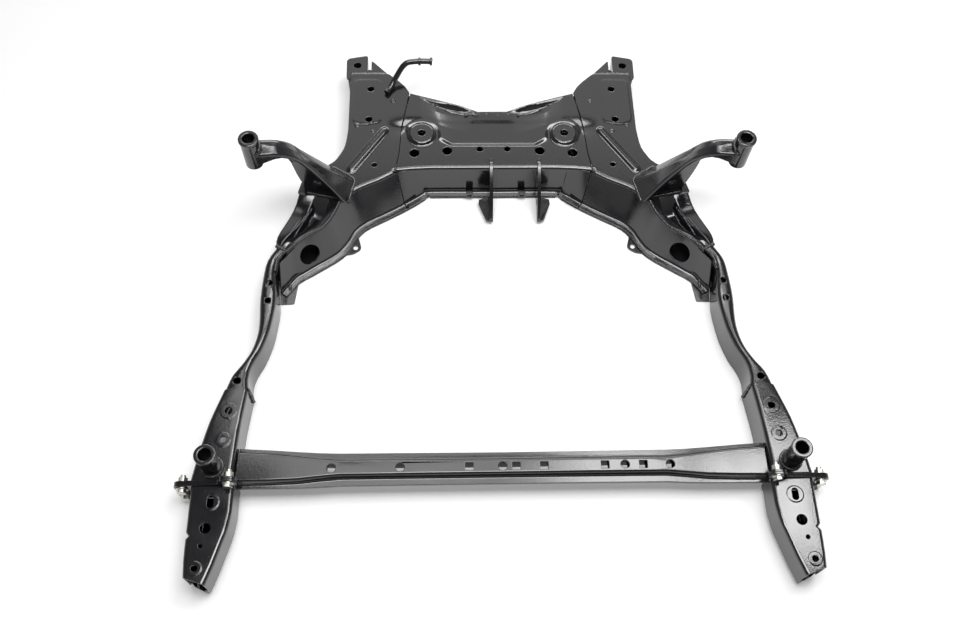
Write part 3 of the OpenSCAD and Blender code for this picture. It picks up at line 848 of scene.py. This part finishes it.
@dataclass
class SpotWelds(Repeat):
    """Rows of resistance spot welds: small shallow buttons."""

    spots: list[Point]
    across_mm: float = 5.0
    rise_mm: float = 0.5
    segments: int = 14
    rings: int = 8
    spread: Plan = (0.8, 1.15)
    seed: int = 4

    def seeds(self) -> tuple[list[Point], list[tuple[int, int]]]:
        """The middles of the buttons; see Repeat.seeds."""
        return [(x * s.value * MM, y * MM, z * MM) for s in Side for x, y, z in self.spots], []

    def sizes(self) -> dict[str, float]:
        """Width and height of a button; see Repeat.sizes."""
        return {"Across": self.across_mm * MM, "Rise": self.rise_mm * MM}

    def grow(self, tree: bpy.types.NodeTree, given: Any) -> bpy.types.NodeSocket:
        """Sets a flattened ball at each point, each a little larger or smaller; see Repeat.grow."""
        ball = add(tree, "GeometryNodeMeshUVSphere", {
            "Segments": self.segments, "Rings": self.rings, "Radius": 1.0}).outputs[0]
        half = maths(tree, "MULTIPLY", given["Across"], 0.5)
        size = add(tree, "ShaderNodeCombineXYZ", {"X": half, "Y": half, "Z": given["Rise"]})
        # 2 and 3 are the least and greatest number, and output 1 is the number drawn.
        drawn = add(tree, "FunctionNodeRandomValue", {
            2: self.spread[0], 3: self.spread[1], "Seed": self.seed}).outputs[1]
        size = add(tree, "ShaderNodeVectorMath", {0: size.outputs[0], "Scale": drawn},
                   operation="SCALE")
        return add(tree, "GeometryNodeInstanceOnPoints", {
            "Points": given["Geometry"], "Instance": ball, "Scale": size.outputs[0]}).outputs[0]


# --- sub-assemblies


class SubAssembly:
    """Pieces that belong together and are built one after another."""

    def pieces(self) -> Iterable[Piece]:
        """What the sub-assembly is made of.

        Returns:
            Its pieces, in the order in which they are built.
        """
        raise NotImplementedError

    def build(self) -> None:
        """Builds every piece."""
        for piece in self.pieces():
            piece.build()


def ramp(value: np.ndarray, start: float | np.ndarray, run: float | np.ndarray) -> np.ndarray:
    """Straight rise from 0 to 1.

    Args:
        value: Where it is read.
        start: Where it leaves 0.
        run: How much further on it reaches 1; below 0 it lies before the start.

    Returns:
        The share of the rise.
    """
    return np.clip((value - start) / run, 0, 1)


def ease(value: np.ndarray, start: float | np.ndarray, run: float | np.ndarray) -> np.ndarray:
    """Rise from 0 to 1 with soft ends.

    Args:
        value: Where it is read.
        start: Where it leaves 0.
        run: How much further on it reaches 1.

    Returns:
        The share of the rise.
    """
    share = ramp(value, start, run)
    return share * share * (3 - 2 * share)


@dataclass(frozen=True)
class DeckForm:
    """Soft forms pressed into the deck, in millimetres, the same on both sides of the middle.

    Pairs that end in _ramp are a start and a run.
    """

    level: float = 64.0
    rear: float = 345.0
    rear_corner: float = 26.0
    rear_slope: float = 0.302
    rim_slack: float = 1.0
    front_across: tuple[float, ...] = (105, 139, 166)
    front_edge: tuple[float, ...] = (219.5, 217.7, 214.7)
    front_slack: float = 0.5
    panel_front: Plan = (255.5, 213.6)
    pad_corner: Plan = (183.0, 308.5)
    pad_share: float = 0.2
    seat: Plan = (122.5, 291.0)
    seat_radius: float = 19.0
    seat_rise: float = 4.0
    saddle_depth: float = 6.9
    saddle_corner: float = 72.0
    saddle_front_ramp: Plan = (264.5, 13.5)
    saddle_slant: Plan = (0.44, 0.2)
    saddle_end_ramp: Plan = (66.0, 44.0)
    rear_step: float = 0.5
    rear_step_ramp: Plan = (317.0, 10.0)
    clear_seat_ramp: Plan = (28.0, 4.0)
    clear_end_ramp: Plan = (114.0, -6.0)
    clear_front_ramp: Plan = (261.0, 3.0)
    clear_rear_ramp: Plan = (4.0, 18.0)
    trough_depth: float = 3.2
    trough_line: float = 305.0
    trough_half: float = 15.0
    trough_in_ramp: Plan = (92.0, 14.0)
    trough_out: tuple[float, ...] = (150, 170, 186)
    trough_out_share: tuple[float, ...] = (1, 0.55, 0)
    trough_seat_ramp: Plan = (26.0, 8.0)
    lip_ends: Plan = (30.0, 134.0)
    lip_across: tuple[float, ...] = (34, 46, 92, 119, 128)
    lip_share: tuple[float, ...] = (0, 0.4, 1, 0.4, 0)
    lip_back: tuple[float, ...] = (0.0, 1.0, 1.6, 5.6, 6.6, 16.6)
    lip_fall: tuple[float, ...] = (0.0, 0.0, 0.1, 1.5, 2.1, 12.1)
    lip_drop: float = 6.0
    lip_run: float = 42.0

    def rear_edge(self, across: np.ndarray) -> np.ndarray:
        """Where the rear edge of the middle panel lies.

        Args:
            across: Distance from the middle.

        Returns:
            Its Y.
        """
        return self.rear + np.maximum(0, across - self.rear_corner) * self.rear_slope

    def on_rear_lip(self, rim: np.ndarray) -> np.ndarray:
        """Tells which rim points of the middle panel lie on the rear lip.

        Args:
            rim: Rim points.

        Returns:
            True on the lip.
        """
        across, y = np.abs(rim[:, 0]), rim[:, 1]
        inner, outer = self.lip_ends
        return (across > inner) & (across < outer) & (y > self.rear_edge(across) - self.rim_slack)

    def on_front(self, rim: np.ndarray) -> np.ndarray:
        """Tells which rim points lie on the rolled front edge of the middle panel.

        Args:
            rim: Rim points.

        Returns:
            True on the front edge.
        """
        edge = np.interp(np.abs(rim[:, 0]), self.front_across, self.front_edge)
        return rim[:, 1] < edge + self.front_slack

    def on_panel_front(self, rim: np.ndarray) -> np.ndarray:
        """Tells which rim points lie on the rolled front edge of a side panel.

        Args:
            rim: Rim points.

        Returns:
            True on the front edge.
        """
        outer, front = self.panel_front
        return (rim[:, 1] < front) & (np.abs(rim[:, 0]) < outer)

    def saddle(self, across: np.ndarray, y: np.ndarray) -> np.ndarray:
        """Height of the gear saddle's floor, level with the deck at its ends.

        Args:
            across: Distance from the middle.
            y: Place along the car.

        Returns:
            Heights.
        """
        slant = np.maximum(0, across - self.saddle_corner)
        start, run = (a + slant * b for a, b in zip(self.saddle_front_ramp, self.saddle_slant))
        depth = self.saddle_depth * ease(y, start, run)
        depth = depth - self.rear_step * ease(y, *self.rear_step_ramp)
        return self.level - np.maximum(depth, 0) * (1 - ease(across, *self.saddle_end_ramp))

    def trough(self, across: np.ndarray, y: np.ndarray, seat: np.ndarray) -> np.ndarray:
        """Depth of the soft trough beside each seat.

        Args:
            across: Distance from the middle.
            y: Place along the car.
            seat: Distance from the seat.

        Returns:
            Depths.
        """
        depth = self.trough_depth * ramp(across, *self.trough_in_ramp)
        depth = depth * np.interp(across, self.trough_out, self.trough_out_share)
        bell = np.exp(-((y - self.trough_line) / self.trough_half) ** 2)
        return depth * ramp(seat, *self.trough_seat_ramp) * bell

    def step(self, across: np.ndarray, back: np.ndarray) -> np.ndarray:
        """Drop under the rear lip: a rolled edge, a slope and a long rise back to the deck.

        Args:
            across: Distance from the middle.
            back: Distance from the rear edge.

        Returns:
            How far the sheet lies below the lip.
        """
        low = np.interp(across, self.lip_across, self.lip_share) * self.lip_drop
        foot = np.interp(low, self.lip_fall[1:], self.lip_back[1:])
        fall = np.interp(back, self.lip_back, self.lip_fall)
        rise = low * (1 - ramp(back, foot, self.lip_run))
        return np.where(back < foot, np.minimum(fall, low), rise)

    def relief(self, plan: np.ndarray, heights: np.ndarray) -> np.ndarray:
        """Presses pads, flat seats, gear saddle, troughs and the step under the rear lip.

        Args:
            plan: Plan points.
            heights: Heights of the sheet there.

        Returns:
            The new heights.
        """
        across, y = np.abs(plan[:, 0]), plan[:, 1]
        back = self.rear_edge(across) - y
        seat = np.hypot(across - self.seat[0], y - self.seat[1])
        pad = (across > self.pad_corner[0]) & (y > self.pad_corner[1])
        heights = np.where(pad, self.level + (heights - self.level) * self.pad_share, heights)
        heights = np.where(seat < self.seat_radius, self.level + self.seat_rise, heights)
        share = ramp(seat, *self.clear_seat_ramp) * ramp(across, *self.clear_end_ramp)
        share = share * ramp(y, *self.clear_front_ramp) * ramp(back, *self.clear_rear_ramp)
        heights = heights * (1 - share) + self.saddle(across, y) * share
        return heights - self.trough(across, y, seat) - self.step(across, back)


@dataclass
class Crossmember(SubAssembly):
    """Deck, walls, floor and rear tabs of the box behind the engine."""

    form: DeckForm = DeckForm()

    def pieces(self) -> Iterable[Piece]:
        """The panels, walls and tabs with their welds; see SubAssembly.pieces."""
        form, top = self.form, self.form.level
        return [
            PressedDeck("centre_panel", form.on_front, form.relief, form.on_rear_lip),
            *[PressedDeck(f"side_panel_{side.name.lower()}", form.on_panel_front, form.relief)
              for side in Side],
            Skin("lower_panel"), Skin("rear_wall"), Skin("front_wall", merged=False),
            Skin("steering_spacers"), *pair("side_wall", merged=False), *pair("outer_wall"),
            *pair("rear_tab", merged=False),
            WeldBeads("tab_beads", [
                [(186, 426, top - 2.4), (216, 426.4, top - 2.4), (247, 426, top - 2.4)]]),
            WeldBeads("seam_beads", [
                [(167.4, 212.5, top + 0.2), (164.5, 228, top + 0.2)]], width_mm=3.0),
            SpotWelds("deck_spots", [
                (10, 338, top - 5.9), (28, 338, top - 5.9), (46, 337.4, top - 5.6)]),
            SpotWelds("panel_spots", [
                (172.7, 363, top), (206, 297.5, top), (233.3, 310.4, top)],
                across_mm=9.0, rise_mm=1.1),
        ]


@dataclass
class Horns(SubAssembly):
    """Rising body mount horns with their webs, sleeves and nuts."""

    foot_mm: float = 63.6
    bracket_mm: float = 62.9

    def pieces(self) -> Iterable[Piece]:
        """The horns with their welds; see SubAssembly.pieces."""
        foot, low = self.foot_mm, self.bracket_mm
        return [
            *pair("horn"), *pair("horn_web"), *pair("horn_sleeve", edge_mm=0.9),
            Skin("horn_nuts", edge_mm=0.5, finish=ZINC, slot=Slot.PLATED),
            WeldBeads("horn_beads", [
                [(253, 159.6, foot), (282, 165.6, foot), (311, 172, foot)],
                [(270, 223.4, low), (252, 212, low), (236, 200.5, low), (233.4, 193, low),
                 (237, 180, low), (243, 152.5, low)],
                [(271, 223, low), (295, 212, low), (320, 199, low)]]),
            WeldBeads("sleeve_beads", [
                [(371.4, 148.6, 196), (366.4, 152.6, 203), (364.4, 160.5, 204.4),
                 (366.4, 168, 205), (371.4, 173.4, 205)]], width_mm=6.5),
        ]


@dataclass
class ArmBrackets(SubAssembly):
    """Pocketed roofs over the bays of the suspension arms."""

    roof_mm: float = 62.6

    def pieces(self) -> Iterable[Piece]:
        """The brackets with their welds; see SubAssembly.pieces."""
        roof = self.roof_mm
        return [
            *pair("arm_bracket"),
            WeldBeads("bracket_beads", [
                [(257.5, 154, roof), (263.6, 137.8, roof), (272, 120, roof), (283.6, 103.8, roof),
                 (303.2, 91, 62.2), (322, 77.4, 60.8), (331, 69.6, 59.8), (338.2, 61.6, 58.8)],
                [(338.5, 62, 59.2), (347, 67, 59.4), (355.6, 72.2, 59)]], width_mm=6.4),
            WeldBeads("pocket_beads", [
                [(303.6, 146.6, 52.6), (313.3, 126, 54.2), (322.2, 107.9, 52.6),
                 (329.5, 95.2, 48.2)],
                [(302.7, 138.1, 41.4), (307.6, 126.7, 41)],
                [(320.9, 122.6, 56.2), (328, 110, 57), (334.9, 97.9, 57.8)]], width_mm=5.4),
        ]


def circle(x: float, y: float, z: float, radius: float, steps: int = 32) -> list[Point]:
    """A level ring of points, closed.

    Args:
        x: Middle of the ring.
        y: Middle of the ring.
        z: Height of the ring.
        radius: Radius of the ring.
        steps: How many points go round.

    Returns:
        Points of the ring, the first one again at the end.
    """
    turns = [i * math.tau / steps for i in range(steps + 1)]
    return [(x + radius * math.cos(a), y + radius * math.sin(a), z) for a in turns]


@dataclass
class Legs(SubAssembly):
    """Curved legs, front platforms and front sleeves."""

    sleeve_mm: Plan = (420.5, -300.5)
    sleeve_radius_mm: float = 15.0
    sleeve_foot_mm: float = 63.2
    platform_end_mm: float = -178.3

    def pieces(self) -> Iterable[Piece]:
        """The legs and platforms with their welds; see SubAssembly.pieces."""
        end = self.platform_end_mm
        return [
            *pair("leg", merged=False), *pair("leg_floor"), *pair("platform"),
            *pair("platform_floor"), *pair("front_sleeve", edge_mm=0.9),
            WeldBeads("leg_beads", [
                [(341.5, 61.6, 58.6), (345.5, 57.6, 58.4), (350, 51, 58), (353, 45, 57.6),
                 (354.4, 36, 57.2), (354.8, 26, 57)],
                [(337.6, 40, 6), (338.4, 29, 5), (337.6, 20, 4.4)]], width_mm=6.4),
            WeldBeads("platform_beads", [
                [(380.2, end, 10), (380, end, 30), (379.8, end, 52), (382, end, 59.5)],
                circle(*self.sleeve_mm, self.sleeve_foot_mm, self.sleeve_radius_mm)],
                width_mm=4.8),
        ]


@dataclass
class FrontEnd(SubAssembly):
    """Crush cans, bolted joint plates and the slim front beam."""

    def pieces(self) -> Iterable[Piece]:
        """The cans, plates, bolts and beam with its welds; see SubAssembly.pieces."""
        zinc = {"edge_mm": 0.5, "finish": ZINC, "slot": Slot.PLATED}
        return [
            *pair("can"), *pair("can_floor", merged=False), *pair("rear_plate"),
            *pair("front_plate"), Skin("beam", merged=False), Skin("beam_floor", merged=False),
            Skin("joint_bolts", **zinc), Skin("joint_nuts", merged=False, **zinc),
            WeldBeads("beam_beads", [
                [(386.8, -276, 49), (388, -296, 50), (389, -317, 49)]], width_mm=4.4),
        ]


@dataclass
class SmallParts(SubAssembly):
    """Torque rod ears, hanger rod, clips and lugs."""

    def pieces(self) -> Iterable[Piece]:
        """The small parts; see SubAssembly.pieces."""
        return [*pair("rod_ear"), Skin("hanger", sharp_deg=50), Skin("flange_clips", edge_mm=0.5),
                Skin("flange_lugs", edge_mm=0.5)]


# --- studio


@dataclass(frozen=True)
class Lamp:
    """A soft box, in metres; it looks straight down where no aim is given.

    One that is sheen only is a card to be mirrored in the paint: it adds no light to floor
    or colour.
    """

    name: str
    place: Point
    size: Plan
    watts: float
    sheen_only: bool = False
    aim: Point | None = None

    def build(self) -> None:
        """Hangs the lamp."""
        data = bpy.data.lights.new(self.name, "AREA")
        data.shape = "RECTANGLE"
        data.size, data.size_y = self.size
        data.energy = self.watts
        lamp = put(self.name, data)
        aim = self.aim or (*self.place[:2], 0.0)
        look = Vector(aim) - Vector(self.place)
        lamp.location = self.place
        lamp.rotation_euler = look.to_track_quat("-Z", "Y").to_euler()
        lamp.visible_diffuse = not self.sheen_only


@dataclass
class Studio:
    """White sweep, soft boxes and the camera of the picture."""

    lens_mm: float = 37.5
    sensor_mm: float = 36.0
    clip_m: Plan = (0.05, 100.0)
    stand_mm: Point = (-83.6, -771.2, 1450.0)
    right: Point = (0.999386, -0.022333, 0.027001)
    down: Point = (-0.007675, -0.891383, -0.453186)
    floor_colour: str = "#f4f4f4"
    floor_m: float = 14.0
    floor_gap_m: float = 0.0002
    lift: float = 0.2
    horizon: float = 0.45
    zenith: float = 0.12
    zenith_from: float = 0.8
    lamps: tuple[Lamp, ...] = (
        Lamp("strip_front", (0.0, -0.25, 2.4), (1.5, 0.66), 34),
        Lamp("strip_middle", (0.05, 1.18, 2.4), (1.2, 0.36), 11, True),
        Lamp("card_left", (-0.76, 1.0, 2.4), (0.36, 0.9), 2.8, True),
        Lamp("card_right", (0.95, 1.1, 2.4), (0.5, 0.5), 3, True),
        Lamp("strip_back", (0.0, 3.7, 1.6), (3.4, 0.9), 76, True, (0.0, 0.2, 0.06)),
        Lamp("box_left", (-0.2, 0.42, 2.4), (1.1, 0.6), 5.5),
        Lamp("box_middle", (0.6, 0.42, 2.4), (0.5, 0.6), 9),
        Lamp("box_right", (1.17, 0.34, 2.4), (0.52, 0.56), 10.5),
        Lamp("box_back", (0.0, 3.0, 2.6), (3.4, 1.8), 18.5, False, (0.0, 0.2, 0.0)),
    )

    def camera(self) -> None:
        """Sets the camera where the picture was taken."""
        data = bpy.data.cameras.new("camera")
        data.lens, data.sensor_width = self.lens_mm, self.sensor_mm
        data.clip_start, data.clip_end = self.clip_m
        x = Vector(self.right).normalized()
        z = x.cross(-Vector(self.down).normalized()).normalized()
        turn = Matrix((x, z.cross(x), z)).transposed().to_4x4()
        camera = put("camera", data)
        camera.matrix_world = Matrix.Translation(Vector(self.stand_mm) * MM) @ turn
        bpy.context.scene.camera = camera

    def floor(self) -> None:
        """Lays the pale floor, a little brighter to the eye and to mirrors than it is lit."""
        half, level = self.floor_m / 2, CAD_BOX[0].z - self.floor_gap_m
        corners = [(-half, -half, level), (half, -half, level), (half, half, level),
                   (-half, half, level)]
        mesh = bpy.data.meshes.new("floor")
        mesh.from_pydata(corners, [], [(0, 1, 2, 3)])
        made = bpy.data.materials.new("paper_white")
        tree = empty_tree(made)
        rays = add(tree, "ShaderNodeLightPath").outputs
        seen = maths(tree, "MAXIMUM", rays["Is Camera Ray"], rays["Is Glossy Ray"])
        seen = maths(tree, "MAXIMUM", seen, rays["Is Transmission Ray"])
        glow = maths(tree, "MULTIPLY", seen, self.lift)
        paper = add(tree, "ShaderNodeBsdfDiffuse", {"Color": linear(self.floor_colour)})
        light = add(tree, "ShaderNodeEmission", {"Strength": glow})
        both = add(tree, "ShaderNodeAddShader", {0: paper.outputs[0], 1: light.outputs[0]})
        add(tree, "ShaderNodeOutputMaterial", {"Surface": both.outputs[0]})
        mesh.materials.append(made)
        floor = put("floor", mesh)

    def sky(self) -> bpy.types.World:
        """Makes the white room round the part, darker overhead.

        Returns:
            The world.
        """
        world = bpy.data.worlds.new("studio")
        tree = empty_tree(world)
        place = add(tree, "ShaderNodeTexCoord").outputs["Generated"]
        up = add(tree, "ShaderNodeSeparateXYZ", {0: place}).outputs["Z"]
        fall = remap(tree, up, (0.0, self.zenith_from), (self.horizon, self.zenith))
        sky = add(tree, "ShaderNodeBackground", {"Color": (1, 1, 1, 1), "Strength": fall})
        add(tree, "ShaderNodeOutputWorld", {"Surface": sky.outputs[0]})
        return world

    def build(self) -> None:
        """Sets up light, floor and camera."""
        scene = bpy.context.scene
        scene.view_settings.view_transform = "Standard"
        scene.world = self.sky()
        self.floor()
        for lamp in self.lamps:
            lamp.build()
        self.camera()


def main() -> None:
    """Builds every sub-assembly, then the studio."""
    logging.basicConfig(level=logging.INFO, format="%(message)s")
    for part in (Crossmember(), Horns(), ArmBrackets(), Legs(), FrontEnd(), SmallParts()):
        part.build()
    Studio().build()


if __name__ == "__main__":
    main()
